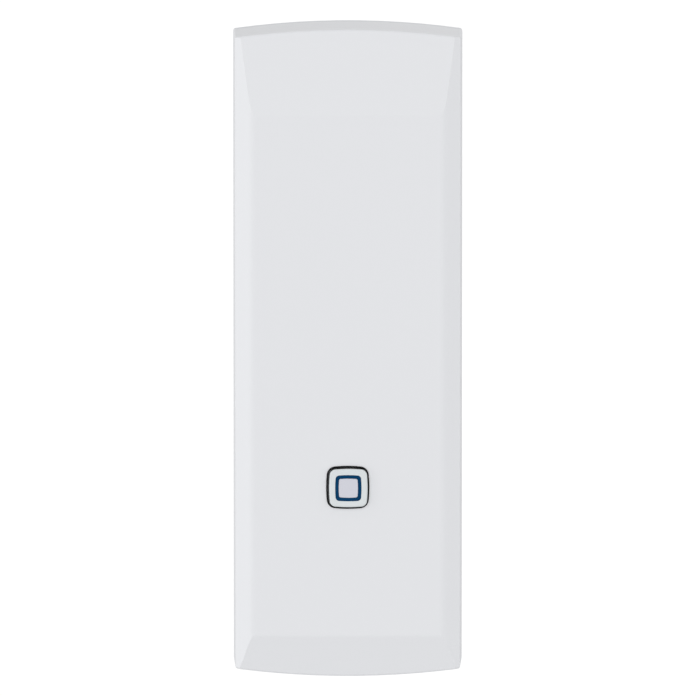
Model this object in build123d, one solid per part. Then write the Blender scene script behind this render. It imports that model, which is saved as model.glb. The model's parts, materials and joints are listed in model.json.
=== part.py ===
from build123d import *
import os
from math import atan2, degrees, radians, tan

# A slim wall-mounted doorbell push unit, in millimetres. It runs on two round cells.
#
# Frame: +X is to the right as you face the unit, +Y goes into the wall and +Z is up. The origin
# is on the wall, at the middle of the unit's back. A "depth" is a distance from the wall towards
# the front, so a depth of 5 is y = -5.

# ---- body -------------------------------------------------------------------------------------
BODY_WIDTH = 46.0
BODY_HEIGHT = 130.5
BODY_DEPTH = 25.0  # wall to front face
END_BOW = 1.6  # how far the top and bottom edges bow out between their corners
BOW_R = (BODY_WIDTH**2 / 4 + END_BOW**2) / (2 * END_BOW)
EDGE_R = 0.5  # the body's corners and the cover's front edges
SIDE_DRAFT = 1.7  # degrees, narrowing towards the front
COVER_WALL = 2.0
COVER_BACK = 4.3

# The front face is a flat field with a bevel on every side.
FIELD_HALF_WIDTH = 19.2
FIELD_TOP = 47.6
FIELD_BOTTOM = -56.4
SIDE_BEVEL = (3.7, 2.75)  # width across the front, drop towards the wall
TOP_BEVEL = (17.4, 1.75)
BOTTOM_BEVEL = (9.2, 2.45)
FIELD_EDGE_R = 2.5  # where the bevels leave the flat field

# ---- wall plate and rear housing --------------------------------------------------------------
PLATE_THICK = 2.2
PLATE_GAP = 0.3  # between the plate's edge and the housing's skirt
LIFT = 6.0  # the unit lifts this far to leave the plate
SCREW_SPACING = 84.0
SCREW_HOLE_R = 2.25
SKIRT_WALL = 2.0
SKIRT_BACK = 0.4
FLOOR_BACK = 2.6
FLOOR_FRONT = 4.0
RIM_INSET = 2.3
RIM_WALL = 2.0
RIM_FRONT = 9.0
GASKET_BACK = 5.3
GASKET_FRONT = 6.6
GASKET_INSET = (2.18, 3.3)
LUG = (1.4, 0.8, 5.0)  # reach, thickness, height
LUG_BACK = 0.5
LUG_SITES = (38.0, -34.0)

# ---- cells and their cradle -------------------------------------------------------------------
CELL_R = 7.25
CELL_LENGTH = 50.5
CELL_NUB = (2.7, 1.2)  # radius, height
CELL_X = 7.6
CELL_DEPTH = 12.5
CRADLE_HALF_WIDTH = 16.6
CRADLE_BOTTOM = -1.2
CRADLE_TOP = 59.6
CRADLE_WALL = 2.0
CRADLE_LOW_DEPTH = 13.0
CRADLE_END_DEPTH = 18.5
STAKE_SITES = (12.0, 46.0)
STRIP_THICK = 0.4  # contact strip
DIMPLE = 0.8
SPRING_LENGTH = 4.6
SPRING_RADII = (2.2, 4.0)
SPRING_WIRE_R = 0.3

# ---- circuit board ----------------------------------------------------------------------------
BOARD_BACK = 11.0
BOARD_FRONT = 12.6
BOARD_HALF_WIDTH = 18.2
BOARD_TOP = -2.5
BOARD_BOTTOM = -58.5
BOARD_SCREWS = [(x, z) for x in (-15.0, 15.0) for z in (-7.5, -54.0)]
PILOT_R = 0.85
SHANK_R = 0.84

# ---- button -----------------------------------------------------------------------------------
BUTTON_Z = -26.5
BEZEL_SIZE = 8.62
BEZEL_OPENING = 8.05
CAP_SIZE = 7.68
CAP_SHIFT = (0.12, -0.1)  # the cap sits a hair off the middle of its opening
RING_SIZE = 5.26
CORE_SIZE = 3.9
# Corner radius and bow radius of each outline, as shares of its size.
SOFT_SHAPE = (0.26, 4.3)
BEZEL_SHAPE = (0.205, 2.9)
CAP_SHAPE = (0.16, 3.75)
RING_SHAPE = (0.143, 4.3)
CORE_SHAPE = (0.09, 4.3)
FIT = 0.02  # between pieces assembled for good
BEZEL_FRONT = BODY_DEPTH + 0.25
CAP_FRONT = BODY_DEPTH + 0.8
CAP_FLANGE = (10.4, 21.2, 22.4)  # size, back depth, front depth
SEAL = (12.6, 22.5, 23.0)  # size, back depth, front depth
RETAINER_BACK = 17.7
RETAINER_FRONT = 18.9
RETAINER_SCREW_X = 9.0
SWITCH_SIZE = 6.0
SWITCH_FRONT = 16.1
STEM_R = 1.7
STEM_FRONT = 17.0
LAMP_OFFSET = 4.9

# ---- lock screw, in the cover's bottom wall ---------------------------------------------------
LOCK_DEPTH = 7.9
INSERT_R = 1.6
LOCK_R = 0.98

OUT = "parts"


# ---- drawing helpers --------------------------------------------------------------------------
def slab(face, back, front):
    """Extrudes a face drawn in (x, z) between two depths."""
    return extrude(Plane.XZ.offset(back) * face, amount=front - back, dir=(0, -1, 0))


def at(x, z, face):
    """Moves a face drawn in (x, z)."""
    return Pos(x, z) * face


def block(x, z, back, front):
    """Box given by its x range, z range and depths."""
    face = Rectangle(x[1] - x[0], z[1] - z[0])
    return slab(at((x[0] + x[1]) / 2, (z[0] + z[1]) / 2, face), back, front)


def peg(x, z, radius, back, front):
    """Round post standing off the wall."""
    return slab(at(x, z, Circle(radius)), back, front)


def upright(x, depth, radius, low, high):
    """Cylinder whose axis is vertical."""
    return Pos(x, -depth, low) * extrude(Circle(radius), amount=high - low)


def outline(inset=0.0):
    """The body's outline, shrunk by inset: straight sides, bowed ends and small round corners."""
    shift = BODY_HEIGHT / 2 - BOW_R
    face = Rectangle(BODY_WIDTH - 2 * inset, BODY_HEIGHT)
    face = face & (Pos(0, shift) * Circle(BOW_R - inset)) & (Pos(0, -shift) * Circle(BOW_R - inset))
    return fillet(face.vertices(), EDGE_R)


def squircle(size, shape=SOFT_SHAPE):
    """Square with bowed sides and round corners, as on the button."""
    corner, bow = shape
    bow_r = bow * size
    shift = bow_r - size / 2
    face = Pos(shift, 0) * Circle(bow_r) & Pos(-shift, 0) * Circle(bow_r)
    face = face & (Pos(0, shift) * Circle(bow_r)) & (Pos(0, -shift) * Circle(bow_r))
    return fillet(face.vertices(), corner * size)


def at_button(face):
    return at(0, BUTTON_Z, face)


def on_cap(face):
    return at(CAP_SHIFT[0], BUTTON_Z + CAP_SHIFT[1], face)


def cover_form(inset, back):
    """The cover's convex form before its edges are rounded, shrunk by inset and cut off at a depth."""
    draft = tan(radians(SIDE_DRAFT))
    rear = BODY_WIDTH / 2 + COVER_BACK * draft
    slope = SIDE_BEVEL[1] / SIDE_BEVEL[0]
    shoulder = (BODY_DEPTH - slope * (rear - FIELD_HALF_WIDTH)) / (1 - slope * draft)
    half = [(rear, 0), (rear - shoulder * draft, -shoulder), (FIELD_HALF_WIDTH, -BODY_DEPTH)]
    above = Polygon(*[(-x, y) for x, y in half], *reversed(half), align=None)

    def drop(bevel, field_edge):
        return BODY_DEPTH - bevel[1] / bevel[0] * (BODY_HEIGHT - field_edge)

    front = [(-BODY_DEPTH, FIELD_TOP), (-BODY_DEPTH, FIELD_BOTTOM)]
    top = (-drop(TOP_BEVEL, FIELD_TOP), BODY_HEIGHT)
    bottom = (-drop(BOTTOM_BEVEL, -FIELD_BOTTOM), -BODY_HEIGHT)
    beside = Polygon((BODY_DEPTH, BODY_HEIGHT), top, *front, bottom, (BODY_DEPTH, -BODY_HEIGHT), align=None)
    if inset:
        above = offset(above, -inset, kind=Kind.INTERSECTION)
        beside = offset(beside, -inset, kind=Kind.INTERSECTION)
    form = extrude(above, amount=BODY_HEIGHT, both=True)
    form = form & extrude(Plane.YZ * beside, amount=BODY_WIDTH, both=True)
    # The bowed ends are the tips of two wide cones.
    radius = BOW_R - inset + COVER_BACK * draft
    on_base = (Align.CENTER, Align.CENTER, Align.MIN)
    cone = Rot(90, 0, 0) * Cone(radius, radius - 40 * draft, 40, align=on_base)
    shift = BODY_HEIGHT / 2 - BOW_R
    form = form & (Pos(0, 0, shift) * cone) & (Pos(0, 0, -shift) * cone)
    return form - Pos(0, -back, 0) * Box(99, 99, 199, align=(Align.CENTER, Align.MIN, Align.CENTER))


def soft_cover_form():
    """The cover's outside with its corners, front edges and flat field blended."""
    form = cover_form(0, COVER_BACK)
    depths = [(e, -(e @ 0).Y, -(e @ 1).Y) for e in form.edges()]
    rim = [e for e, a, b in depths if max(a, b) > COVER_BACK + 1 and max(a, b) < BODY_DEPTH - 0.1]
    form = fillet(rim, EDGE_R)
    return fillet(form.faces().sort_by(Axis.Y)[0].edges(), FIELD_EDGE_R)


def coil(length, radii, turns, wire_r):
    """Open coil spring that stands on the origin, from its first radius to its second, wider one."""
    height = length - 2 * wire_r
    cone = degrees(atan2(radii[1] - radii[0], height))
    path = Helix(height / turns, height, radii[0], center=(0, 0, wire_r), cone_angle=cone)
    wire = Plane(origin=path @ 0, z_dir=path % 0) * Circle(wire_r)
    return sweep(wire, path=path, is_frenet=True)


def cross_screw(x, z, under_head, tip, head_r, head_thick):
    """Pan-head screw whose head is nearer the front when under_head is past tip."""
    way = 1 if under_head > tip else -1
    top = under_head + way * head_thick
    low, high = sorted((under_head, top))
    head = peg(x, z, head_r, low, high)
    head = fillet(head.edges().filter_by(GeomType.CIRCLE).sort_by(Axis.Y)[0 if way > 0 else -1], 0.4)
    low, high = sorted((tip, under_head))
    screw = head + peg(x, z, SHANK_R, low, high)
    low, high = sorted((top - way * 0.8, top + way))
    for size in ((2.2, 0.5), (0.5, 2.2)):
        screw = screw - slab(at(x, z, Rectangle(*size)), low, high)
    return screw


# ---- wall plate and rear housing --------------------------------------------------------------
def wall_plate():
    """Flat plate screwed to the wall. Its edges trap the housing's four lugs."""
    edge_inset = SKIRT_WALL + PLATE_GAP
    # The bottom edge is short of the skirt by the lift, and bows with it.
    plate = slab(outline(edge_inset) & Pos(0, LIFT) * outline(edge_inset), 0, PLATE_THICK)
    half_width = BODY_WIDTH / 2 - edge_inset
    channel = half_width - LUG[0] + 0.1
    for z in LUG_SITES:
        foot = z - LUG[2] / 2 - 0.1
        top = z + LUG[2] / 2 + LIFT + 0.5
        gate = top - LUG[2] - 0.8
        for side in (-1, 1):
            x = sorted((side * channel, side * 30))
            plate = plate - block(x, (foot, top), -1, LUG_BACK + LUG[1] + 0.2)
            plate = plate - block(x, (gate, top), -1, PLATE_THICK + 1)
    for z in (LIFT / 2 - SCREW_SPACING / 2, LIFT / 2 + SCREW_SPACING / 2):
        plate = plate - peg(0, z, SCREW_HOLE_R, -1, PLATE_THICK + 1)
        sink = Cone(SCREW_HOLE_R, 4.2, 1.2, align=(Align.CENTER, Align.CENTER, Align.MAX))
        plate = plate - Pos(0, -PLATE_THICK, z) * Rot(90, 0, 0) * sink
    # Shallow pockets on the front leave stiffening ribs between them.
    for z in (-20.0, 3.0, 26.0):
        for x in (-9.5, 9.5):
            pocket = fillet(Rectangle(14, 19).vertices(), 1.5)
            plate = plate - slab(at(x, z, pocket), PLATE_THICK - 0.8, PLATE_THICK + 1)
    return plate


def rear_housing():
    """Tray behind the cover: skirt round the wall plate, floor, rim, board posts and stakes."""
    tray = slab(outline(), SKIRT_BACK, FLOOR_FRONT)
    tray = tray - slab(outline(SKIRT_WALL), SKIRT_BACK - 1, FLOOR_BACK)
    rim = slab(outline(RIM_INSET), FLOOR_FRONT, RIM_FRONT)
    rim = rim - slab(outline(RIM_INSET + RIM_WALL), FLOOR_FRONT, RIM_FRONT)
    groove = slab(outline(RIM_INSET - 1), GASKET_BACK, GASKET_FRONT)
    groove = groove - slab(outline(GASKET_INSET[1]), GASKET_BACK, GASKET_FRONT)
    tray = tray + (rim - groove)
    inner = BODY_WIDTH / 2 - SKIRT_WALL
    for z in LUG_SITES:
        for side in (-1, 1):
            x = sorted((side * (inner - LUG[0]), side * (inner + 0.5)))
            tray = tray + block(x, (z - LUG[2] / 2, z + LUG[2] / 2), LUG_BACK, LUG_BACK + LUG[1])
    for x, z in BOARD_SCREWS:
        tray = tray + peg(x, z, 2.6, FLOOR_FRONT - 0.5, BOARD_BACK)
    for x, z in BOARD_SCREWS:
        tray = tray - peg(x, z, PILOT_R, FLOOR_FRONT + 0.5, BOARD_BACK + 1)
    for z in STAKE_SITES:
        tray = tray + peg(0, z, 1.4, FLOOR_FRONT - 0.5, 6.2) + peg(0, z, 2.2, 6.2, 7.0)
    # Water leaves through a gap in the bottom of the skirt.
    drain = block((-5, 5), (-BODY_HEIGHT, -BODY_HEIGHT / 2 + SKIRT_WALL + 1), SKIRT_BACK - 1, 1.6)
    return tray - drain


def seal_gasket():
    """Silicone ring in the rim's groove, which the cover slides over."""
    gasket = slab(outline(GASKET_INSET[0]), GASKET_BACK, GASKET_FRONT)
    return gasket - slab(outline(GASKET_INSET[1]), GASKET_BACK, GASKET_FRONT)


# ---- cells and contacts -----------------------------------------------------------------------
STRIP_LOW = CRADLE_BOTTOM + CRADLE_WALL
STRIP_HIGH = CRADLE_TOP - CRADLE_WALL
PLUS_DOWN_LOW = STRIP_LOW + STRIP_THICK + DIMPLE + 0.05
PLUS_UP_HIGH = STRIP_HIGH - STRIP_THICK - DIMPLE - 0.05


def battery_cradle():
    """Moulded cradle with two troughs, staked to the housing's floor."""
    wide = (-CRADLE_HALF_WIDTH, CRADLE_HALF_WIDTH)
    cradle = block(wide, (CRADLE_BOTTOM, CRADLE_TOP), FLOOR_FRONT, CRADLE_LOW_DEPTH)
    for z in ((CRADLE_BOTTOM, STRIP_LOW), (STRIP_HIGH, CRADLE_TOP)):
        cradle = cradle + block(wide, z, FLOOR_FRONT, CRADLE_END_DEPTH)
    for x in (-CELL_X, CELL_X):
        cradle = cradle - upright(x, CELL_DEPTH, CELL_R + 0.2, STRIP_LOW, STRIP_HIGH)
        # Leaves a finger's width open beside each cell.
        side = sorted((x + (7.0 if x > 0 else -7.0), x + (11.0 if x > 0 else -11.0)))
        cradle = cradle - block(side, (22, 37), 9.0, CRADLE_END_DEPTH)
        leg = (x - 1.7, x + 1.7)
        cradle = cradle - block(leg, (CRADLE_BOTTOM - 1, STRIP_LOW + 1), BOARD_FRONT, BOARD_FRONT + 0.7)
    cradle = cradle - block((-CELL_X, CELL_X), (STRIP_HIGH - 0.6, STRIP_HIGH), 7.9, CRADLE_END_DEPTH)
    for z in STAKE_SITES:
        cradle = cradle - peg(0, z, 1.5, FLOOR_FRONT - 1, 7) - peg(0, z, 2.4, 6.2, 20)
    return cradle


def cell(x, plus_up):
    """Round cell, with its nub up or down."""
    body = upright(0, 0, CELL_R, 0, CELL_LENGTH - CELL_NUB[1])
    body = fillet(body.edges().filter_by(GeomType.CIRCLE), 0.5)
    top = CELL_LENGTH - CELL_NUB[1]
    nub = upright(0, 0, CELL_NUB[0], top, CELL_LENGTH)
    nub = fillet(nub.edges().filter_by(GeomType.CIRCLE).sort_by(Axis.Z)[-1], 0.4)
    whole = body + nub
    if plus_up:
        return Pos(x, -CELL_DEPTH, PLUS_UP_HIGH - CELL_LENGTH) * whole
    return Pos(x, -CELL_DEPTH, PLUS_DOWN_LOW + CELL_LENGTH) * Rot(180, 0, 0) * whole


def contact_strip(x, leg):
    """Sprung strip at a trough's low end, with a leg down onto the board."""
    strip = block((x - 4.5, x + 4.5), (STRIP_LOW, STRIP_LOW + STRIP_THICK), 8, 17)
    if leg:
        reach = (BOARD_TOP - 4, STRIP_LOW + STRIP_THICK)
        strip = strip + block((x - 1.5, x + 1.5), reach, BOARD_FRONT, BOARD_FRONT + STRIP_THICK)
    return strip


def dimple(x, base, way):
    """Pressed bump that meets a cell's nub."""
    low, high = sorted((base, base + way * DIMPLE))
    bump = upright(x, CELL_DEPTH, 2.2, low, high)
    tip = bump.edges().filter_by(GeomType.CIRCLE).sort_by(Axis.Z)[-1 if way > 0 else 0]
    return fillet(tip, 0.6)


def positive_contact():
    return contact_strip(-CELL_X, True) + dimple(-CELL_X, STRIP_LOW + STRIP_THICK, 1)


def negative_contact():
    return contact_strip(CELL_X, True)


def negative_spring():
    spring = Rot(180, 0, 0) * coil(SPRING_LENGTH, SPRING_RADII, 3.5, SPRING_WIRE_R)
    return Pos(CELL_X, -CELL_DEPTH, STRIP_LOW + STRIP_THICK + SPRING_LENGTH) * spring


def bridge_contact():
    """One strip joins the two cells at the top."""
    low = STRIP_HIGH - STRIP_THICK
    strip = block((-CELL_X - 4.5, CELL_X + 4.5), (low, STRIP_HIGH), 8, 17)
    return strip + dimple(CELL_X, low, -1)


def bridge_spring():
    spring = coil(SPRING_LENGTH, SPRING_RADII, 3.5, SPRING_WIRE_R)
    return Pos(-CELL_X, -CELL_DEPTH, STRIP_HIGH - STRIP_THICK - SPRING_LENGTH) * spring


# ---- circuit board ----------------------------------------------------------------------------
def main_board():
    middle = (BOARD_TOP + BOARD_BOTTOM) / 2
    face = Rectangle(2 * BOARD_HALF_WIDTH, BOARD_TOP - BOARD_BOTTOM)
    board = slab(at(0, middle, fillet(face.vertices(), 1.5)), BOARD_BACK, BOARD_FRONT)
    for x, z in BOARD_SCREWS:
        board = board - peg(x, z, 1.3, BOARD_BACK - 1, BOARD_FRONT + 1)
    return board


def board_screws():
    return [cross_screw(x, z, BOARD_FRONT, FLOOR_FRONT + 1, 2.1, 1.4) for x, z in BOARD_SCREWS]


def switch_body():
    half = SWITCH_SIZE / 2
    body = block((-half, half), (BUTTON_Z - half, BUTTON_Z + half), BOARD_FRONT, SWITCH_FRONT - 0.3)
    body = chamfer(body.edges().filter_by(Axis.Y), 0.5)
    return body - peg(0, BUTTON_Z, STEM_R + 0.15, SWITCH_FRONT - 2.3, SWITCH_FRONT)


def switch_frame():
    """Steel plate over the switch."""
    face = fillet(Rectangle(SWITCH_SIZE - 0.2, SWITCH_SIZE - 0.2).vertices(), 0.5)
    face = face - Circle(STEM_R + 0.15)
    return slab(at_button(face), SWITCH_FRONT - 0.3, SWITCH_FRONT)


def switch_terminals():
    """Four bent legs, soldered to the board."""
    legs = []
    for x in (-1, 1):
        for z in (-2.25, 2.25):
            near = SWITCH_SIZE / 2
            height = (BUTTON_Z + z - 0.35, BUTTON_Z + z + 0.35)
            reach = sorted((x * (near + 0.2), x * (near + 1.3)))
            foot = block(reach, height, BOARD_FRONT, BOARD_FRONT + 0.2)
            rise = block(sorted((x * near, x * (near + 0.2))), height, BOARD_FRONT, BOARD_FRONT + 1.4)
            legs.append(foot + rise)
    return legs


def switch_stem():
    stem = peg(0, BUTTON_Z, STEM_R, SWITCH_FRONT - 1.7, STEM_FRONT)
    return chamfer(stem.edges().filter_by(GeomType.CIRCLE).sort_by(Axis.Y)[0], 0.2)


LAMP_SITES = [(LAMP_OFFSET, 0), (-LAMP_OFFSET, 0), (0, LAMP_OFFSET), (0, -LAMP_OFFSET)]


def lamps():
    """Four lamps round the switch light the ring through its legs."""
    found = []
    for x, z in LAMP_SITES:
        size = (1.4, 2.4) if x else (2.4, 1.4)
        body = slab(at(x, BUTTON_Z + z, Rectangle(*size)), BOARD_FRONT, BOARD_FRONT + 0.9)
        body = body - peg(x, BUTTON_Z + z, 0.5, BOARD_FRONT + 0.6, BOARD_FRONT + 1.5)
        found.append(body)
    return found


RADIO_X, RADIO_Z = 6.0, -43.6


def radio_board():
    face = Rectangle(15, 16)
    return slab(at(RADIO_X, RADIO_Z, face), BOARD_FRONT, BOARD_FRONT + 0.8)


def radio_shield():
    """Pressed can over the radio's parts, open at its back."""
    back = BOARD_FRONT + 0.8
    can = slab(at(RADIO_X, RADIO_Z + 0.8, Rectangle(12.6, 12)), back, back + 2)
    can = fillet(can.edges().filter_by(Axis.Y), 0.6)
    return can - slab(at(RADIO_X, RADIO_Z + 0.8, Rectangle(12.1, 11.5)), back - 1, back + 1.75)


ANTENNA_X, ANTENNA_R, ANTENNA_WIRE_R = -14.0, 2.2, 0.35


def antenna_coil():
    """Helical aerial standing clear of the board, with a foot in it."""
    depth = BOARD_FRONT + 0.8 + ANTENNA_R
    helix = coil(19, (ANTENNA_R, ANTENNA_R), 10, ANTENNA_WIRE_R)
    foot_x = ANTENNA_X + ANTENNA_R
    foot = peg(foot_x, -47 + ANTENNA_WIRE_R, ANTENNA_WIRE_R, BOARD_FRONT, depth - ANTENNA_WIRE_R)
    return [Pos(ANTENNA_X, -depth, -47) * helix, foot]


CHIP_X, CHIP_Z, CHIP_SIZE = -6.5, -40.5, 7.0


def controller_chip():
    body = slab(at(CHIP_X, CHIP_Z, Rectangle(CHIP_SIZE, CHIP_SIZE)), BOARD_FRONT + 0.1, BOARD_FRONT + 1.1)
    body = chamfer(body.edges().filter_by(Axis.Y), 0.3)
    return body - peg(CHIP_X - 2.5, CHIP_Z + 2.5, 0.4, BOARD_FRONT + 1.0, BOARD_FRONT + 2)


def controller_pins():
    """Eight flat pins on each side of the controller."""
    pins = []
    for n in range(8):
        along = (n - 3.5) * 0.8
        for way in (-1, 1):
            near = CHIP_SIZE / 2
            span = sorted((way * near, way * (near + 0.9)))
            across = (along - 0.16, along + 0.16)
            for x, z in ((span, across), (across, span)):
                pin = block(x, z, BOARD_FRONT, BOARD_FRONT + 0.25)
                pins.append(Pos(CHIP_X, 0, CHIP_Z) * pin)
    return pins


CAPACITOR_X, CAPACITOR_Z = 11.5, -14.0


def capacitor_base():
    face = chamfer(Rectangle(6.6, 6.6).vertices().sort_by(Axis.Y)[-2:], 1.2)
    return slab(at(CAPACITOR_X, CAPACITOR_Z, face), BOARD_FRONT, BOARD_FRONT + 0.9)


def capacitor_can():
    can = peg(CAPACITOR_X, CAPACITOR_Z, 3.15, BOARD_FRONT + 0.9, BOARD_FRONT + 5.8)
    return fillet(can.edges().filter_by(GeomType.CIRCLE).sort_by(Axis.Y)[0], 0.4)


def timing_crystal():
    face = fillet(Rectangle(3.2, 5.0).vertices(), 0.6)
    return slab(at(-13.0, -17.0, face), BOARD_FRONT, BOARD_FRONT + 1.1)


def small_parts():
    """Chip resistors and capacitors in short rows."""
    rows = [(-11.0, -54.5, 4), (-11.0, -50.5, 4), (-11.0, -34.0, 4), (5.5, -34.0, 5), (-3.0, -12.5, 4)]
    chip = slab(Rectangle(0.8, 1.6), BOARD_FRONT, BOARD_FRONT + 0.5)
    return [Pos(x + 2.2 * n, 0, z) * chip for x, z, count in rows for n in range(count)]


# ---- cover ------------------------------------------------------------------------------------
def front_cover():
    """Deep cover that holds the button: one moulding with a bevelled front."""
    shell = soft_cover_form() - cover_form(COVER_WALL, COVER_BACK - 1)
    shell = shell + (cover_ribs() & cover_form(COVER_WALL / 2, COVER_BACK))
    for side in (-1, 1):
        x = side * RETAINER_SCREW_X
        shell = shell + peg(x, BUTTON_Z, 2.1, RETAINER_FRONT, BODY_DEPTH - COVER_WALL + 0.5)
    for side in (-1, 1):
        x = side * RETAINER_SCREW_X
        shell = shell - peg(x, BUTTON_Z, PILOT_R, RETAINER_FRONT - 1, BODY_DEPTH - COVER_WALL - 0.5)
    hole = at_button(squircle(BEZEL_SIZE, BEZEL_SHAPE))
    shell = shell - slab(hole, BODY_DEPTH - COVER_WALL - 1, BODY_DEPTH + 1)
    foot = (-BODY_HEIGHT, -BODY_HEIGHT / 2 + COVER_WALL + 1)
    shell = shell - upright(0, LOCK_DEPTH, INSERT_R, *foot)
    # A shallow notch under the cover lets a coin prise it off.
    return shell - block((-4.5, 4.5), foot, COVER_BACK - 1, COVER_BACK + 0.8)


def cover_ribs():
    """Stiffening ribs, two of them shaped to keep the cells in their troughs."""
    ribs = block((-30, 30), (59, 60), 20.6, BODY_DEPTH)
    for z in (14.0, 42.0):
        keeper = block((-15, 15), (z - 0.6, z + 0.6), 17.5, BODY_DEPTH)
        for x in (-CELL_X, CELL_X):
            keeper = keeper - upright(x, CELL_DEPTH, CELL_R + 0.25, z - 1, z + 1)
        ribs = ribs + keeper
    return ribs


def button_bezel():
    face = squircle(BEZEL_SIZE - 2 * FIT, BEZEL_SHAPE) - squircle(BEZEL_OPENING, CAP_SHAPE)
    bezel = slab(at_button(face), BODY_DEPTH - COVER_WALL + 0.1, BEZEL_FRONT)
    return fillet(bezel.faces().sort_by(Axis.Y)[0].outer_wire().edges(), 0.12)


def button_seal():
    face = squircle(SEAL[0]) - squircle(BEZEL_OPENING, CAP_SHAPE)
    return slab(at_button(face), SEAL[1], SEAL[2])


def button_retainer():
    """Plate behind the button that stops it and its spring falling inwards."""
    face = fillet(Rectangle(2 * RETAINER_SCREW_X + 5.4, 13).vertices(), 2.5)
    face = face - squircle(RING_SIZE + 0.7)
    for side in (-1, 1):
        face = face - Pos(side * RETAINER_SCREW_X, 0) * Circle(1.15)
    return slab(at_button(face), RETAINER_BACK, RETAINER_FRONT)


def retainer_screws():
    sites = (-RETAINER_SCREW_X, RETAINER_SCREW_X)
    return [cross_screw(x, BUTTON_Z, RETAINER_BACK, 22.0, 1.9, 1.3) for x in sites]


def lock_insert():
    """Brass bush in the cover's bottom wall."""
    low = -BODY_HEIGHT / 2 + 0.25
    high = -BODY_HEIGHT / 2 + COVER_WALL
    return upright(0, LOCK_DEPTH, INSERT_R, low, high) - upright(0, LOCK_DEPTH, LOCK_R + 0.02, low, high)


def lock_screw():
    """Headless screw that presses on the housing's rim and so holds the cover on."""
    low = -BODY_HEIGHT / 2 + 0.45
    screw = upright(0, LOCK_DEPTH, LOCK_R, low, -BODY_HEIGHT / 2 + RIM_INSET - 0.1)
    screw = chamfer(screw.edges().filter_by(GeomType.CIRCLE), 0.2)
    socket = Pos(0, -LOCK_DEPTH, low - 0.5) * extrude(RegularPolygon(0.55, 6), amount=1.3)
    return screw - socket


# ---- button -----------------------------------------------------------------------------------
def button_cap():
    cap = slab(on_cap(squircle(CAP_SIZE, CAP_SHAPE)), CAP_FLANGE[1], CAP_FRONT)
    cap = fillet(cap.faces().sort_by(Axis.Y)[0].edges(), 0.35)
    cap = cap + slab(on_cap(squircle(CAP_FLANGE[0])), CAP_FLANGE[1], CAP_FLANGE[2])
    hole = on_cap(squircle(RING_SIZE, RING_SHAPE))
    return cap - slab(hole, CAP_FLANGE[1] - 1, CAP_FRONT + 1)


def light_ring():
    """Clear blue light pipe: its front edge is the ring, and its four legs end over the lamps."""
    hole = squircle(CORE_SIZE, CORE_SHAPE)
    pipe = slab(on_cap(squircle(RING_SIZE - 2 * FIT, RING_SHAPE) - hole), 16.8, CAP_FRONT - 0.05)
    pipe = pipe + slab(on_cap(squircle(11.4) - hole), 16.8, 17.5)
    for x, z in LAMP_SITES:
        pipe = pipe + slab(at(x, BUTTON_Z + z, Rectangle(1.5, 1.5)), 14.6, 16.8)
    return pipe


def button_core():
    """Middle of the button, whose foot works the switch."""
    core = slab(on_cap(squircle(CORE_SIZE - 2 * FIT, CORE_SHAPE)), 17.6, CAP_FRONT)
    core = fillet(core.faces().sort_by(Axis.Y)[0].edges(), 0.12)
    return core + peg(0, BUTTON_Z, 1.5, STEM_FRONT + 0.1, 17.6)


def button_spring():
    """Light coil spring between the retainer and the cap's flange."""
    spring = coil(CAP_FLANGE[1] - RETAINER_FRONT - 2 * FIT, (4.4, 4.4), 2.5, 0.22)
    return Pos(0, -RETAINER_FRONT - FIT, BUTTON_Z) * Rot(90, 0, 0) * spring


PARTS = {
    "wall_plate": wall_plate,
    "rear_housing": rear_housing,
    "seal_gasket": seal_gasket,
    "battery_cradle": battery_cradle,
    "battery_left": lambda: cell(-CELL_X, False),
    "battery_right": lambda: cell(CELL_X, True),
    "positive_contact": positive_contact,
    "negative_contact": negative_contact,
    "negative_spring": negative_spring,
    "bridge_contact": bridge_contact,
    "bridge_spring": bridge_spring,
    "main_board": main_board,
    "board_screws": board_screws,
    "switch_body": switch_body,
    "switch_frame": switch_frame,
    "switch_terminals": switch_terminals,
    "switch_stem": switch_stem,
    "lamps": lamps,
    "radio_board": radio_board,
    "radio_shield": radio_shield,
    "antenna_coil": antenna_coil,
    "controller_chip": controller_chip,
    "controller_pins": controller_pins,
    "capacitor_base": capacitor_base,
    "capacitor_can": capacitor_can,
    "timing_crystal": timing_crystal,
    "small_parts": small_parts,
    "front_cover": front_cover,
    "button_bezel": button_bezel,
    "button_seal": button_seal,
    "button_retainer": button_retainer,
    "retainer_screws": retainer_screws,
    "lock_insert": lock_insert,
    "lock_screw": lock_screw,
    "button_cap": button_cap,
    "light_ring": light_ring,
    "button_core": button_core,
    "button_spring": button_spring,
}


def solids_of(made):
    """Every solid of a part, whether it was made as one shape or as a list."""
    shapes = made if isinstance(made, list) else [made]
    return [solid for shape in shapes for solid in shape.solids()]


os.makedirs(OUT, exist_ok=True)
for name, make in PARTS.items():
    solids = solids_of(make())
    export_step(solids[0] if len(solids) == 1 else Compound(children=solids), f"{OUT}/{name}.step")
    print(name, len(solids), "solids", round(sum(s.volume for s in solids), 1), "mm3")
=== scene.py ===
# %% [markdown]
# # A slim doorbell push unit
# This lesson dresses a finished CAD model of a wall-mounted doorbell unit. The CAD gives every solid its
# place and size, and Blender gives it finishes, the small parts that CAD leaves plain, a camera and light.
# Everything is in metres, and the unit's front faces -Y.

# %% Load the frame
import json
import math

import bmesh
import bpy
from mathutils import Matrix, Vector

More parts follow.
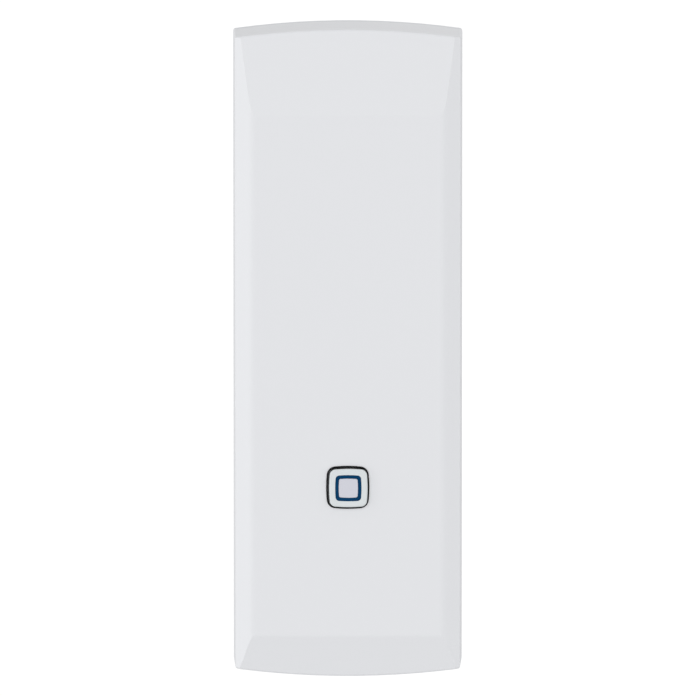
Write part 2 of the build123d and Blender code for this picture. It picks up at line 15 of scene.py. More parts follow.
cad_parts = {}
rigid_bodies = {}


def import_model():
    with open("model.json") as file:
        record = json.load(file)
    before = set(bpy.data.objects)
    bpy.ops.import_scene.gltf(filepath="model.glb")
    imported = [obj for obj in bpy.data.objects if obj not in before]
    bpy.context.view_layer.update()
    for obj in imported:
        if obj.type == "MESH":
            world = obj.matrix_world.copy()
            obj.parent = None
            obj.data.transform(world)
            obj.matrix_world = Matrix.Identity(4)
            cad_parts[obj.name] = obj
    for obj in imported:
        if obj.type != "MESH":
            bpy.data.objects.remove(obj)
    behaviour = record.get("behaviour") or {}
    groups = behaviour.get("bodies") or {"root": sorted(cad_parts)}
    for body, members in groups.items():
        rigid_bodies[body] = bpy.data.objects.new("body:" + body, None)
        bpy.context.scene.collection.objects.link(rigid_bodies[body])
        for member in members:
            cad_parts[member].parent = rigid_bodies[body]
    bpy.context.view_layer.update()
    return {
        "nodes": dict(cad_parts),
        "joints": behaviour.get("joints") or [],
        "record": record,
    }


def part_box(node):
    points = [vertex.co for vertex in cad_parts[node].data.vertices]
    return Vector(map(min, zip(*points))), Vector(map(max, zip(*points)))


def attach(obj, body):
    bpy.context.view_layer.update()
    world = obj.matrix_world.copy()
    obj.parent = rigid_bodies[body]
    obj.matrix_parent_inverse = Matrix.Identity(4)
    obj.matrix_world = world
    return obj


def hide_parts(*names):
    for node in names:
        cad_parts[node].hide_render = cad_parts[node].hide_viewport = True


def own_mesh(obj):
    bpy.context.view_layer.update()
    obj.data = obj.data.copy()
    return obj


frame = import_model()
nodes = frame["nodes"]
MM = 0.001

# %% [markdown]
# ## Camera
# A small wall unit keeps its sides nearly parallel when it is seen from far away through a long lens. The
# camera looks a few degrees down, which is why a strip of the top wall shows. It is turned to look along a
# direction with to_track_quat, which is simpler than working out angles.

# %% Place the camera
LOOK_DOWN = math.radians(5.4)
AWAY = 1.8
LENS = 464.7
NEAREST, FARTHEST = 0.05, 100
aim = Vector((0.00005, -0.0125, 0.0002))
back = Vector((0, -math.cos(LOOK_DOWN), math.sin(LOOK_DOWN)))

camera = bpy.data.objects.new("camera", bpy.data.cameras.new("camera"))
bpy.context.scene.collection.objects.link(camera)
bpy.context.scene.camera = camera
camera.data.lens = LENS
camera.data.sensor_width = 36
camera.data.clip_start = NEAREST
camera.data.clip_end = FARTHEST
camera.location = aim + back * AWAY
camera.rotation_mode = "QUATERNION"
camera.rotation_quaternion = (-back).to_track_quat("-Z", "Y")
print("camera at", tuple(round(v, 3) for v in camera.location))

# %% [markdown]
# ## Sky and floor
# The unit hangs clear of the floor, as if the wall had been taken away. The floor lies far below, so no
# shadow of the unit shows on it. The floor and the sky look pure white to the camera, but send less light
# than that to the unit, or its shading would wash out. A Light Path node tells the two cases apart.

# %% Light the surroundings
SKY_LIGHT = 0.66
FLOOR_LIGHT = 0.62
FULL_WHITE = 1.05
FLOOR_DEPTH = 1.6
FLOOR_REACH = 20


def light_surround(owner, output, light, strength):
    """Pure white where the camera looks straight at it, and a softer light for everything else."""
    owner.use_nodes = True
    tree = owner.node_tree
    tree.nodes.clear()
    path = tree.nodes.new("ShaderNodeLightPath")
    mix = tree.nodes.new("ShaderNodeMixShader")
    for place, power in ((1, strength), (2, FULL_WHITE)):
        shader = tree.nodes.new(light)
        shader.inputs["Color"].default_value = (1, 1, 1, 1)
        shader.inputs["Strength"].default_value = power
        tree.links.new(shader.outputs[0], mix.inputs[place])
    tree.links.new(path.outputs["Is Camera Ray"], mix.inputs["Fac"])
    tree.links.new(mix.outputs[0], tree.nodes.new(output).inputs[0])


bpy.context.scene.view_settings.view_transform = "Standard"
sky = bpy.data.worlds.new("sky")
light_surround(sky, "ShaderNodeOutputWorld", "ShaderNodeBackground", SKY_LIGHT)
bpy.context.scene.world = sky
pale = bpy.data.materials.new("pale_floor")
light_surround(pale, "ShaderNodeOutputMaterial", "ShaderNodeEmission", FLOOR_LIGHT)

floor = bpy.data.objects.new("floor", bpy.data.meshes.new("floor"))
floor_bm = bmesh.new()
bmesh.ops.create_grid(floor_bm, x_segments=1, y_segments=1, size=FLOOR_REACH)
bmesh.ops.translate(floor_bm, verts=floor_bm.verts, vec=(0, 0, -FLOOR_DEPTH))
floor_bm.to_mesh(floor.data)
floor_bm.free()
floor.data.materials.append(pale)
bpy.context.scene.collection.objects.link(floor)
print("floor", FLOOR_DEPTH, "m below the unit")

# %% [markdown]
# ## Lamps round the unit
# Four large soft lamps stand around. The left one is the strongest, so the left bevel is the brightest
# surface and the right one is a little grey. The back lamp is weak and only lifts the edges.

# %% Stand the lamps
LAMP_AWAY = 2.6
LAMP_SIZE = 3.0
LAMPS = {  # degrees to the right of the front, degrees up, power in watts
    "front_lamp": (0, 10, 16.5),
    "left_lamp": (-75, 3, 23.5),
    "right_lamp": (70, 3, 10.5),
    "back_lamp": (150, 35, 5.0),
}
for name, (turn, rise, power) in LAMPS.items():
    turn, rise = math.radians(turn), math.radians(rise)
    towards = Vector((math.sin(turn) * math.cos(rise), -math.cos(turn) * math.cos(rise), math.sin(rise)))
    light = bpy.data.lights.new(name, "AREA")
    light.size = LAMP_SIZE
    light.energy = power
    lamp = bpy.data.objects.new(name, light)
    lamp.location = towards * LAMP_AWAY
    lamp.rotation_mode = "QUATERNION"
    lamp.rotation_quaternion = (-towards).to_track_quat("-Z", "Y")
    bpy.context.scene.collection.objects.link(lamp)
print(len(LAMPS), "lamps")

# %% [markdown]
# ## Shared surface effects
# Moulded plastic is never perfectly even: the mould leaves a fine grain, and the gloss drifts slowly across
# a face. Metal keeps fine lines from rolling or turning. Each effect is a node group, built once and placed
# in every material that needs it with its own values. Noise on Object coordinates needs no unwrapping, and
# it stays put when a part moves.

# %% Add a node, or start a group


def add_node(tree, kind, inputs=None, **settings):
    """Adds a node, sets its options, and fills its inputs with values or with other nodes' outputs."""
    node = tree.nodes.new(kind)
    for key, value in settings.items():
        setattr(node, key, value)
    for key, value in (inputs or {}).items():
        if isinstance(value, bpy.types.NodeSocket):
            tree.links.new(value, node.inputs[key])
        else:
            node.inputs[key].default_value = value
    return node


def new_group(name, inputs, outputs):
    """An empty node group with float inputs and outputs. Returns it with its two end nodes."""
    group = bpy.data.node_groups.new(name, "ShaderNodeTree")
    for key, value in inputs.items():
        group.interface.new_socket(key, in_out="INPUT", socket_type="NodeSocketFloat").default_value = value
    for key in outputs:
        group.interface.new_socket(key, in_out="OUTPUT", socket_type="NodeSocketFloat")
    return group, group.nodes.new("NodeGroupInput"), group.nodes.new("NodeGroupOutput")


# %% [markdown]
# ## Mould grain
# Fine noise makes the height of the grain, and coarse noise makes a cloud mask for the slow drift. Sizes are
# given in metres, and a noise's scale is one divided by its size.

# %% Group the mould grain
mould_grain, given, result = new_group(
    "mould_grain", {"Grain Size": 0.0003, "Cloud Size": 0.02}, ["Height", "Cloud"])
coords = add_node(mould_grain, "ShaderNodeTexCoord")
for size_name, out_name, detail in (("Grain Size", "Height", 2.0), ("Cloud Size", "Cloud", 4.0)):
    scale = add_node(mould_grain, "ShaderNodeMath", {0: 1.0, 1: given.outputs[size_name]}, operation="DIVIDE")
    noise = add_node(mould_grain, "ShaderNodeTexNoise", {
        "Vector": coords.outputs["Object"], "Scale": scale.outputs[0], "Detail": detail})
    mould_grain.links.new(noise.outputs["Fac"], result.inputs[out_name])

# %% [markdown]
# ## Metal lines
# Stretching the coordinates before the noise draws its spots out into lines. A second noise, left as it is,
# gives the blotches that handling leaves.

# %% Group the metal lines
LINE_STRETCH = (1.0, 1.0, 0.05)
BLOTCHES_PER_METRE = 260.0
metal_lines, given, result = new_group("metal_lines", {"Line Width": 0.0001}, ["Height", "Shade"])
coords = add_node(metal_lines, "ShaderNodeTexCoord")
stretch = add_node(metal_lines, "ShaderNodeMapping", {
    "Vector": coords.outputs["Object"], "Scale": LINE_STRETCH})
scale = add_node(metal_lines, "ShaderNodeMath", {0: 1.0, 1: given.outputs["Line Width"]}, operation="DIVIDE")
lines = add_node(metal_lines, "ShaderNodeTexNoise", {
    "Vector": stretch.outputs[0], "Scale": scale.outputs[0], "Detail": 3.0})
blotch = add_node(metal_lines, "ShaderNodeTexNoise", {
    "Vector": coords.outputs["Object"], "Scale": BLOTCHES_PER_METRE, "Detail": 3.0})
metal_lines.links.new(lines.outputs["Fac"], result.inputs["Height"])
metal_lines.links.new(blotch.outputs["Fac"], result.inputs["Shade"])
print("effects:", [group.name for group in bpy.data.node_groups])

# %% [markdown]
# ## Finishes
# Each finish is one Principled material. The colour and the gloss drift a little with the cloud mask, and a
# Bump node turns the grain into relief. Values that are the same all over a surface, such as the coat, sit
# on the shader's own sockets.

# %% Write a recipe for a finish
GLOSS_DRIFT = 0.12


def finish(name, colour, rough, drift=0.03, relief=0.004, grain=0.0003, cloud=0.02, metal=0.0, **sockets):
    """A finish whose colour and roughness drift by a share, with grain of a relief given in millimetres."""
    material = bpy.data.materials.new(name)
    material.use_nodes = True
    tree = material.node_tree
    shader = tree.nodes["Principled BSDF"]
    if metal:
        effect = add_node(tree, "ShaderNodeGroup", node_tree=metal_lines)
        effect.inputs["Line Width"].default_value = grain
        mask = effect.outputs["Shade"]
    else:
        effect = add_node(tree, "ShaderNodeGroup", node_tree=mould_grain)
        effect.inputs["Grain Size"].default_value = grain
        effect.inputs["Cloud Size"].default_value = cloud
        mask = effect.outputs["Cloud"]
    tone = add_node(tree, "ShaderNodeMix", data_type="RGBA")
    tree.links.new(mask, tone.inputs["Factor"])
    tone.inputs["A"].default_value = (*[c * (1 - drift) for c in colour], 1)
    tone.inputs["B"].default_value = (*[min(1, c * (1 + drift)) for c in colour], 1)
    tree.links.new(tone.outputs["Result"], shader.inputs["Base Color"])
    gloss = add_node(tree, "ShaderNodeMapRange", {"Value": mask,
        "To Min": rough * (1 - GLOSS_DRIFT), "To Max": min(1, rough * (1 + GLOSS_DRIFT))})
    tree.links.new(gloss.outputs[0], shader.inputs["Roughness"])
    bump = add_node(tree, "ShaderNodeBump", {
        "Height": effect.outputs["Height"], "Strength": 1.0, "Distance": relief * MM})
    tree.links.new(bump.outputs[0], shader.inputs["Normal"])
    shader.inputs["Metallic"].default_value = metal
    for key, value in sockets.items():
        shader.inputs[key.replace("_", " ")].default_value = value
    print("finish", name)
    return material


# %% [markdown]
# ## Plastics
# The case is a satin white moulding. The parts behind it are plainer and a little greyer, and the seal and
# the cradle are nearly black.

# %% Make the plastics
satin_white = finish("satin_white", (0.815, 0.825, 0.85), 0.42, drift=0.004, relief=0.0012)
housing_satin = finish("housing_satin", (0.765, 0.78, 0.805), 0.5, drift=0.008, relief=0.003)
plate_satin = finish("plate_satin", (0.60, 0.61, 0.62), 0.6, relief=0.008)
retainer_white = finish("retainer_white", (0.70, 0.71, 0.73), 0.5, relief=0.005)
silicone = finish("silicone", (0.035, 0.036, 0.038), 0.6, drift=0.1, relief=0.003)
cradle_black = finish("cradle_black", (0.035, 0.036, 0.038), 0.55, drift=0.15, relief=0.008)
switch_black = finish("switch_black", (0.022, 0.022, 0.024), 0.5, drift=0.1, relief=0.004)
stem_black = finish("stem_black", (0.03, 0.03, 0.032), 0.4, drift=0.1, relief=0.002)
lamp_cup = finish("lamp_cup", (0.84, 0.83, 0.78), 0.35, relief=0.001)

# %% [markdown]
# ## Metals
# Metals differ in colour and in how sharp their reflections are. Solder is the shiniest, because it
# froze from a liquid.

# %% Make the metals
nickel = finish("nickel", (0.62, 0.60, 0.56), 0.24, metal=1.0, relief=0.002)
zinc_steel = finish("zinc_steel", (0.52, 0.52, 0.53), 0.3, metal=1.0, relief=0.003)
tinned = finish("tinned", (0.66, 0.66, 0.65), 0.3, metal=1.0, relief=0.002)
solder = finish("solder", (0.70, 0.70, 0.69), 0.2, metal=1.0, relief=0.003, grain=0.0004)
gold_pad = finish("gold_pad", (0.78, 0.56, 0.22), 0.25, metal=1.0, relief=0.001)
copper = finish("copper", (0.72, 0.36, 0.19), 0.25, metal=1.0, relief=0.002)
can_aluminium = finish("can_aluminium", (0.74, 0.74, 0.75), 0.32, metal=1.0, relief=0.002)
brass = finish("brass", (0.75, 0.54, 0.22), 0.3, metal=1.0, relief=0.003)

# %% [markdown]
# ## Board and cells
# Lacquer and printed film are clear coats over a colour, so they get a Coat Weight. Chip resin is matt and
# grainy, and fired ceramic is mottled.

# %% Make the lacquers, inks and films
solder_mask = finish("solder_mask", (0.012, 0.11, 0.045), 0.3, drift=0.12, relief=0.004, Coat_Weight=0.4)
track_mask = finish("track_mask", (0.03, 0.19, 0.08), 0.3, drift=0.08, relief=0.002, Coat_Weight=0.4)
radio_blue = finish("radio_blue", (0.008, 0.02, 0.07), 0.3, drift=0.1, relief=0.003, Coat_Weight=0.3)
board_ink = finish("board_ink", (0.70, 0.71, 0.70), 0.5, drift=0.05, relief=0.002)
chip_black = finish("chip_black", (0.018, 0.018, 0.02), 0.6, drift=0.1, relief=0.006, grain=0.0001)
ceramic = finish("ceramic", (0.30, 0.21, 0.14), 0.55, drift=0.2, cloud=0.003)
lamp_gel = finish("lamp_gel", (0.80, 0.62, 0.12), 0.2, relief=0.0005, Coat_Weight=0.6)
sleeve_film = finish("sleeve_film", (0.16, 0.22, 0.27), 0.28, relief=0.001, Coat_Weight=0.5)
sleeve_band = finish("sleeve_band", (0.05, 0.07, 0.09), 0.28, relief=0.001, Coat_Weight=0.5)

# %% [markdown]
# ## Button
# The button is a pale cap with a blue light ring in it and a slightly cooler middle, inside a black bezel.
# The black and the blue stay deep because their specular level is low.

# %% Make the button's colours
bezel_black = finish("bezel_gloss", (0.003, 0.0035, 0.004), 0.3, drift=0.1, relief=0.0004,
                     Specular_IOR_Level=0.08)
cap_grey = finish("cap_grey", (0.735, 0.775, 0.79), 0.32, drift=0.006, relief=0.0006)
core_grey_blue = finish("core_grey_blue", (0.665, 0.67, 0.74), 0.32, drift=0.006, relief=0.0006)
ring_gel = finish("ring_gel", (0.0005, 0.045, 0.125), 0.4, drift=0.2, relief=0.0006, cloud=0.002,
                  Specular_IOR_Level=0.05)

# %% [markdown]
# ## From bmesh to piece
# A new piece starts as a bmesh, gets its shape from operators, and ends as an object that rides on one of
# the bodies. Smooth shading with sharp edges marked by angle keeps flat faces flat and round ones round.

# %% Turn a bmesh into a piece
SHARP_ANGLE = math.radians(32)
TO_FRONT = Matrix.Rotation(math.pi / 2, 4, "X")  # turns a shape's Z axis to the unit's front


def make_piece(name, bm, body, slot, *materials):
    """Makes an object from a bmesh, shades it, and lets it ride on a body."""
    mesh = bpy.data.meshes.new(name)
    bm.to_mesh(mesh)
    bm.free()
    for material in materials:
        mesh.materials.append(material)
    mesh.shade_smooth()
    mesh.set_sharp_from_angle(angle=SHARP_ANGLE)
    piece = bpy.data.objects.new(name, mesh)
    bpy.context.scene.collection.objects.link(piece)
    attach(piece, body)
    print(name, "rides on", body, "with", len(mesh.polygons), "faces")
    return piece


# %% [markdown]
# ## Reading the CAD solids
# A CAD node's mesh is loose triangles. A copy of it is merged, so that its triangles know their neighbours,
# and the CAD mesh itself is left alone. Walking from vertex to neighbour then finds each separate solid.

# %% Copy a node, and find its solids
WELD = 1e-6


def merged_copy(node):
    """A bmesh copy of a CAD node with its doubled vertices merged."""
    bm = bmesh.new()
    bm.from_mesh(nodes[node].data)
    bmesh.ops.remove_doubles(bm, verts=bm.verts, dist=WELD)
    return bm


def solids_of(node):
    """The low and high corners of each solid in a CAD node, found by walking its merged mesh."""
    bm = merged_copy(node)
    unseen, found = set(bm.verts), []
    while unseen:
        edge_of = [unseen.pop()]
        low, high = edge_of[0].co.copy(), edge_of[0].co.copy()
        while edge_of:
            vert = edge_of.pop()
            low = Vector(map(min, low, vert.co))
            high = Vector(map(max, high, vert.co))
            for edge in vert.link_edges:
                other = edge.other_vert(vert)
                if other in unseen:
                    unseen.remove(other)
                    edge_of.append(other)
        found.append((low, high))
    bm.free()
    return sorted(found, key=lambda box: tuple(round(v, 6) for v in box[0]))


print(len(solids_of("lamps")), "lamps on the board")

# %% [markdown]
# ## Cells
# A round cell is a steel can in a printed film. The film folds over both ends, which leaves a bright steel
# disc at one end and a stepped cap at the other. Every section of it is a circle, so one profile spun round
# the axis makes the whole cell. The film here is plain, with one darker band at the plus end.

# %% Spin the cells
CELL_STEPS = 64
BARE_RADIUS = 5.75
BAND_START = 38
CELL_PROFILE = [  # radius and height in millimetres, from the minus end up
    (0.0, 0.25), (4.6, 0.25), (4.9, 0.12), (5.6, 0.12), (5.8, 0.0), (6.8, 0.0), (7.1, 0.12), (7.22, 0.4),
    (7.22, 12.0), (7.22, 34.0), (7.22, 38.0), (7.22, 48.6), (7.1, 49.0), (6.7, 49.2), (5.9, 49.2),
    (5.8, 49.1), (5.0, 49.1), (4.6, 48.9), (3.4, 48.9), (2.9, 49.2), (2.65, 49.6), (2.65, 50.2),
    (2.4, 50.42), (0.0, 50.46),
]


def spin_cell(name, node, plus_up):
    """A cell in a node's place, with film, band and bare steel as its three finishes."""
    low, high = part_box(node)
    centre = (low + high) / 2
    bm = bmesh.new()
    line = [bm.verts.new((r * MM, 0, h * MM)) for r, h in CELL_PROFILE]
    edges = [bm.edges.new(pair) for pair in zip(line, line[1:])]
    bmesh.ops.spin(bm, geom=line + edges, axis=(0, 0, 1), cent=(0, 0, 0), dvec=(0, 0, 0),
                   angle=math.tau, steps=CELL_STEPS, use_merge=True, use_duplicate=False)
    bmesh.ops.remove_doubles(bm, verts=bm.verts, dist=WELD)
    for face in bm.faces:
        middle = face.calc_center_median()
        if math.hypot(middle.x, middle.y) < BARE_RADIUS * MM:
            face.material_index = 2
        elif middle.z > BAND_START * MM:
            face.material_index = 1
    if not plus_up:
        bmesh.ops.rotate(bm, verts=bm.verts, cent=(0, 0, 0), matrix=Matrix.Rotation(math.pi, 3, "X"))
    foot = low.z if plus_up else high.z
    bmesh.ops.translate(bm, verts=bm.verts, vec=(centre.x, centre.y, foot))
    bmesh.ops.recalc_face_normals(bm, faces=bm.faces)
    cell = make_piece(name, bm, "housing", "cell_jacket", sleeve_film, sleeve_band, nickel)
    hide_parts(node)


spin_cell("cell_left", "battery_left", False)
spin_cell("cell_right", "battery_right", True)

# %% [markdown]
# ## Tracks on the board
# Under its green lacquer a circuit board carries copper tracks, which show as a slightly lighter relief.
# They run straight or at 45 degrees. Each run here is a very low box, and a short round post covers each
# corner, so that the line keeps its width as it turns.

# %% Lay the tracks
board_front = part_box("main_board")[0].y
print("board front at", round(board_front / MM, 2), "mm")
TRACK_HEIGHT = 0.035
POST_FOOT, POST_TOP, POST_DEPTH = 0.52, 0.5, 1.02  # shares of a track's width, and of its height
TRACKS = [  # width, then points across and up the board, in millimetres
    (0.5, [(-7.6, -6.6), (-7.6, -21.0), (-4.4, -24.2)]),
    (0.5, [(7.6, -6.6), (7.6, -9.5), (9.2, -11.1)]),
    (0.5, [(13.8, -16.9), (15.6, -18.7), (15.6, -40.0), (13.9, -41.7)]),
    (0.3, [(-13.0, -19.8), (-13.0, -24.0), (-15.6, -26.6), (-15.6, -49.0), (-13.0, -51.6)]),
    (0.3, [(-11.2, -17.0), (-10.0, -17.0), (-8.8, -18.2), (-8.8, -24.6), (-6.9, -26.5), (-5.6, -26.5)]),
    (0.3, [(4.4, -24.5), (6.6, -24.5), (9.0, -26.9), (9.0, -31.6), (9.9, -32.5), (9.9, -33.2)]),
    (0.3, [(4.4, -29.1), (5.5, -30.2), (5.5, -33.2)]),
    (0.3, [(-4.4, -29.1), (-5.4, -30.1), (-5.4, -35.9)]),
    (0.3, [(-9.3, -35.9), (-9.3, -34.8), (-8.8, -34.3)]),
    (0.3, [(-2.1, -38.5), (-1.6, -38.5), (-1.6, -36.4)]),
    (0.3, [(-7.7, -45.1), (-7.7, -48.0), (-8.8, -49.1), (-8.8, -49.9)]),
    (0.3, [(-6.1, -45.1), (-6.1, -48.4), (-4.4, -50.1), (-4.4, -53.9)]),
    (0.3, [(-10.9, -41.3), (-11.6, -42.0), (-11.6, -46.0)]),
    (0.3, [(0.0, -13.6), (0.0, -21.0)]),
    (0.3, [(2.2, -11.6), (2.2, -7.6), (4.6, -5.2), (12.0, -5.2)]),
    (0.5, [(-2.2, -53.9), (-2.2, -56.6), (12.6, -56.6)]),
]


def lay_track(bm, width, points):
    """A line of low boxes with a round post at each point."""
    height = TRACK_HEIGHT * MM
    for start, end in zip(points, points[1:]):
        run = Vector((end[0] - start[0], 0, end[1] - start[1])) * MM
        middle = Vector((start[0] + end[0], 0, start[1] + end[1])) * MM / 2
        place = Matrix.Translation(middle + Vector((0, board_front - height / 2, 0)))
        place = place @ Matrix.Rotation(-math.atan2(run.z, run.x), 4, "Y")
        place = place @ Matrix.Diagonal((run.length, height, width * MM, 1))
        bmesh.ops.create_cube(bm, size=1, matrix=place)
    for across, up in points:
        place = Matrix.Translation((across * MM, board_front - height / 2, up * MM)) @ TO_FRONT
        bmesh.ops.create_cone(bm, cap_ends=True, segments=12, radius1=width * MM * POST_FOOT,
                              radius2=width * MM * POST_TOP, depth=height * POST_DEPTH, matrix=place)


bm = bmesh.new()
for width, points in TRACKS:
    lay_track(bm, width, points)
make_piece("board_tracks", bm, "housing", "board_mask", track_mask)

# %% [markdown]
# ## Printed outlines
# White ink on a board shows where each part goes. An outline is a thin frame: the part's rectangle grown a
# little, inset to leave a rim, and given a hair of height. A small dot marks the chip's first corner.

# %% Print the outlines
INK_HEIGHT = 0.03
INK_LINE = 0.16
LAMP_MARGIN = 0.35
DOT_AWAY, DOT_RADIUS = 1.6, 0.3
OUTLINED = {"controller_chip": 1.2, "capacitor_base": 0.5, "timing_crystal": 0.5, "radio_board": 0.5,
            "switch_body": 0.35}  # how far each outline stands off its part, in millimetres


def raise_faces(bm, faces, height, **options):
    """Extrudes flat faces towards the unit's front by a height in millimetres."""
    made = bmesh.ops.extrude_face_region(bm, geom=faces, **options)["geom"]
    verts = [item for item in made if isinstance(item, bmesh.types.BMVert)]
    bmesh.ops.translate(bm, verts=verts, vec=(0, -height * MM, 0))


def ink_frame(bm, low, high, grow):
    """A thin printed frame round a part, given in metres and grown in millimetres."""
    across, up = high.x - low.x + 2 * grow * MM, high.z - low.z + 2 * grow * MM
    place = Matrix.Translation(((low.x + high.x) / 2, board_front, (low.z + high.z) / 2))
    place = place @ TO_FRONT @ Matrix.Diagonal((across, up, 1, 1))
    made = bmesh.ops.create_grid(bm, x_segments=1, y_segments=1, size=0.5, matrix=place)["verts"]
    face = made[0].link_faces[0]
    rim = bmesh.ops.inset_region(bm, faces=[face], thickness=INK_LINE * MM, use_boundary=True,
                                 use_even_offset=True)["faces"]
    bmesh.ops.delete(bm, geom=[face], context="FACES_ONLY")
    raise_faces(bm, rim, INK_HEIGHT, use_keep_orig=True)


bm = bmesh.new()
for node, margin in OUTLINED.items():
    ink_frame(bm, *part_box(node), margin)
for low, high in solids_of("lamps"):
    ink_frame(bm, low, high, LAMP_MARGIN)
low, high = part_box("controller_chip")
dot = (low.x - DOT_AWAY * MM, board_front - INK_HEIGHT * MM / 2, high.z + DOT_AWAY * MM)
bmesh.ops.create_cone(bm, cap_ends=True, segments=24, radius1=DOT_RADIUS * MM, radius2=DOT_RADIUS * MM,
                      depth=INK_HEIGHT * MM, matrix=Matrix.Translation(dot) @ TO_FRONT)
bmesh.ops.recalc_face_normals(bm, faces=bm.faces)
make_piece("printed_outlines", bm, "housing", "board_mask", board_ink)

# %% [markdown]
# ## Test pads and vias
# Bare round pads let a tester touch the board, and a via joins a track to the other side. Both are short
# posts with a rounded top edge.

# %% Set the pads and vias
PAD_HEIGHT, PAD_EDGE = 0.06, 0.02
PAD_SITES = [(-3.0 + 1.7 * n, -56.2, 0.6) for n in range(5)]  # across, up and radius in millimetres
VIA_SITES = [
    (-7.6, -14.0, 0.3), (15.6, -30.0, 0.3), (-15.6, -40.0, 0.3), (6.6, -24.5, 0.3), (15.6, -36.0, 0.3),
    (0.0, -19.0, 0.3), (9.2, -11.1, 0.4), (-8.8, -21.0, 0.3), (9.0, -29.0, 0.3), (-5.4, -33.0, 0.3),
]


def round_pad(bm, across, up, radius):
    """A flat round pad with a softened edge, in millimetres."""
    place = Matrix.Translation((across * MM, board_front - PAD_HEIGHT / 2 * MM, up * MM)) @ TO_FRONT
    made = bmesh.ops.create_cone(bm, cap_ends=True, segments=24, radius1=radius * MM, radius2=radius * MM,
                                 depth=PAD_HEIGHT * MM, matrix=place)["verts"]
    front = min(vert.co.y for vert in made) + WELD
    rim = {edge for vert in made for edge in vert.link_edges if all(end.co.y < front for end in edge.verts)}
    bmesh.ops.bevel(bm, geom=list(rim), offset=PAD_EDGE * MM, offset_type="OFFSET", segments=2, profile=0.5,
                    affect="EDGES", material=-1)


bm = bmesh.new()
for across, up, radius in PAD_SITES + VIA_SITES:
    round_pad(bm, across, up, radius)
make_piece("pads_and_vias", bm, "housing", "copper_wire", gold_pad)

# %% [markdown]
# ## Solder
# Solder wets a pad and climbs the leg, so a joint is a low mound. A squashed sphere, cut off at the board,
# gives that shape.

# %% Mound the solder
LEG_MOUND = (0.62, 0.34)  # radius and rise in millimetres
LEG_INSET = 0.35
STRIP_MOUND = (1.9, 0.62)
STRIP_LIFT = 0.4
WIRE_MOUND = (0.8, 0.6)
SINK = 0.01


def mound(bm, across, up, radius, rise):
    """A squashed dome of solder on the board, in millimetres."""
    place = Matrix.Translation((across * MM, board_front, up * MM))
    place = place @ Matrix.Diagonal((radius * MM, rise * MM, radius * MM, 1))
    made = bmesh.ops.create_uvsphere(bm, u_segments=16, v_segments=10, radius=1, matrix=place)["verts"]
    geom = made + list({e for v in made for e in v.link_edges} | {f for v in made for f in v.link_faces})
    bmesh.ops.bisect_plane(bm, geom=geom, plane_co=(0, board_front + SINK * MM, 0), plane_no=(0, 1, 0),
                           clear_outer=True)


bm = bmesh.new()
for low, high in solids_of("switch_terminals"):
    middle = (low + high) / 2 / MM
    outer = (high.x if middle.x > 0 else low.x) / MM
    mound(bm, outer - math.copysign(LEG_INSET, middle.x), middle.z, *LEG_MOUND)
for node in ("positive_contact", "negative_contact"):
    low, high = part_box(node)
    mound(bm, (low.x + high.x) / 2 / MM, low.z / MM + STRIP_LIFT, *STRIP_MOUND)
for low, high in solids_of("antenna_coil"):
    if high.x - low.x < MM:  # the coil's two legs, and not the coil
        mound(bm, (low.x + high.x) / 2 / MM, (low.z + high.z) / 2 / MM, *WIRE_MOUND)
bmesh.ops.holes_fill(bm, edges=[edge for edge in bm.edges if edge.is_boundary])
make_piece("solder_mounds", bm, "housing", "tin_steel", solder)

# %% [markdown]
# ## Tin caps
# A small resistor or capacitor is a block of ceramic with a bright cap of tin at each end. Each cap is a
# box a little larger than the block, with its edges bevelled.

# %% Cap the chip parts
CAP_LENGTH = 0.32 * MM
CAP_PROUD = 0.02 * MM
CAP_EDGE = 0.05 * MM


def soft_box(bm, low, high, edge):
    """Adds a box between two corners, with its edges bevelled."""
    low, high = Vector(low), Vector(high)
    place = Matrix.Translation((low + high) / 2) @ Matrix.Diagonal((*(high - low), 1))
    made = bmesh.ops.create_cube(bm, size=1, matrix=place)["verts"]
    edges = {e for v in made for e in v.link_edges}
    bmesh.ops.bevel(bm, geom=list(edges), offset=edge, offset_type="OFFSET", segments=2, profile=0.5,
                    affect="EDGES", material=-1)


bm = bmesh.new()
for low, high in solids_of("small_parts"):
    for near, far in ((low.z, low.z + CAP_LENGTH), (high.z - CAP_LENGTH, high.z)):
        soft_box(bm, (low.x - CAP_PROUD, low.y - CAP_PROUD, near - CAP_PROUD),
                 (high.x + CAP_PROUD, board_front, far + CAP_PROUD), CAP_EDGE)
make_piece("chip_part_caps", bm, "housing", "tin_steel", solder)

# %% [markdown]
# ## Half holes
# The radio board is soldered down by gold plated half holes along its two sides. At this size each shows as
# a small gold block that wraps the edge.

# %% Plate the half holes
PLATED_PER_SIDE = 9
PLATE_PROUD, PLATE_INWARD = 0.04 * MM, 12  # how far it stands out, and goes in as a multiple of that
PLATE_HALF, PLATE_EDGE = 0.3 * MM, 0.03 * MM
bm = bmesh.new()
low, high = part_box("radio_board")
for side in (low.x, high.x):
    outward = math.copysign(PLATE_PROUD, side - (low.x + high.x) / 2)
    left, right = sorted((side + outward, side - PLATE_INWARD * outward))
    for n in range(PLATED_PER_SIDE):
        up = low.z + (high.z - low.z) * (n + 0.7) / (PLATED_PER_SIDE + 0.4)
        soft_box(bm, (left, low.y - PLATE_EDGE, up - PLATE_HALF),
                 (right, high.y, up + PLATE_HALF), PLATE_EDGE)
make_piece("radio_pads", bm, "housing", "copper_wire", gold_pad)

# %% [markdown]
# ## Lamps
# Each small lamp is a white cup filled with a yellow gel that bulges slightly. The cup is the CAD solid, and
# the gel is a shallow dome set in it.

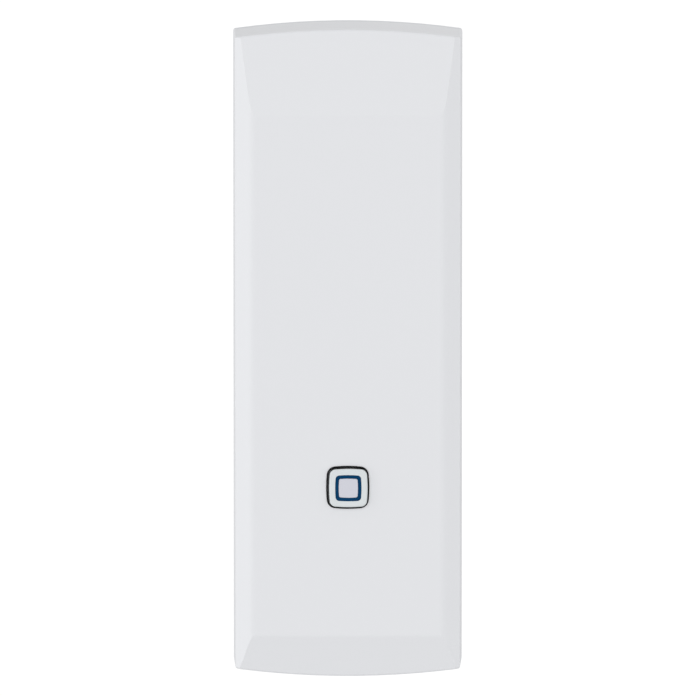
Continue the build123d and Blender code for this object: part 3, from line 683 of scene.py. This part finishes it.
# %% Fill the lamps with gel
GEL_RADIUS, GEL_RISE, GEL_SET_BACK = 0.49 * MM, 0.1 * MM, 0.06 * MM
bm = bmesh.new()
for low, high in solids_of("lamps"):
    middle = (low + high) / 2
    place = Matrix.Translation((middle.x, low.y + GEL_SET_BACK, middle.z))
    place = place @ Matrix.Diagonal((GEL_RADIUS, GEL_RISE, GEL_RADIUS, 1))
    bmesh.ops.create_uvsphere(bm, u_segments=20, v_segments=10, radius=1, matrix=place)
make_piece("lamp_gels", bm, "housing", "lamp_plastic", lamp_gel)

# %% [markdown]
# ## Capacitor mark
# The can's top carries a black segment that shows its minus side. It is a disc cut by a plane and given a
# hair of thickness.

# %% Mark the capacitor
MARK_RADIUS, MARK_FROM_CENTRE = 2.7 * MM, 1.1 * MM
MARK_HEIGHT = 0.02
low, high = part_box("capacitor_can")
centre = (low + high) / 2
bm = bmesh.new()
bmesh.ops.create_circle(bm, cap_ends=True, segments=48, radius=MARK_RADIUS,
                        matrix=Matrix.Translation((centre.x, low.y, centre.z)) @ TO_FRONT)
bmesh.ops.bisect_plane(bm, geom=bm.verts[:] + bm.edges[:] + bm.faces[:], clear_outer=True,
                       plane_co=(centre.x - MARK_FROM_CENTRE, 0, 0), plane_no=(1, 0, 0))
raise_faces(bm, bm.faces[:], MARK_HEIGHT)
bmesh.ops.recalc_face_normals(bm, faces=bm.faces)
make_piece("capacitor_mark", bm, "housing", "switch_plastic", switch_black)

# %% [markdown]
# ## Finishes for the CAD solids
# The remaining CAD solids have the right shape already, so they only swap their plain colour for a finish.
# The record names a slot for each node, and this table gives each slot its finish.

# %% Dress the CAD solids
FINISH_OF = {
    "cover_white": satin_white, "housing_white": housing_satin, "plate_plastic": plate_satin,
    "silicone_grey": silicone, "cradle_plastic": cradle_black, "cell_jacket": sleeve_film,
    "nickel_spring": nickel, "board_mask": solder_mask, "screw_steel": zinc_steel,
    "switch_plastic": switch_black, "tin_steel": tinned, "stem_plastic": stem_black,
    "lamp_plastic": lamp_cup, "radio_mask": radio_blue, "copper_wire": copper, "chip_epoxy": chip_black,
    "capacitor_aluminium": can_aluminium, "chip_ceramic": ceramic, "bezel_black": bezel_black,
    "retainer_plastic": retainer_white, "insert_brass": brass, "button_grey": cap_grey,
    "ring_blue": ring_gel, "core_grey": core_grey_blue,
}
slot_of = {part["node"]: part["material_slot"] for part in frame["record"]["subparts"]}
for node, slot in slot_of.items():
    nodes[node].data.materials[0] = FINISH_OF[slot]
print("dressed", len(slot_of), "CAD nodes with", len(FINISH_OF), "finishes")

# %% [markdown]
# ## Spring under the button
# A light coil stands between the retainer and the button's flange, and gets shorter as the button goes in.
# A CAD part can only slide or turn, so a merged copy of the coil takes its place. The copy rides on the
# parent body of the button's joint.

# %% Copy the button's spring
low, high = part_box("button_spring")
press = next(joint for joint in frame["joints"] if joint["name"] == "button_press")
slot = slot_of["button_spring"]
coil = make_piece("button_coil", merged_copy("button_spring"), press["parent"], slot, FINISH_OF[slot])
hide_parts("button_spring")
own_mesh(coil)

# %% [markdown]
# Dressing must not change the unit's size. The CAD's box and the finished model's box are written side by
# side, and the last call checks that every piece rides on a body.

# %% End
print("done")
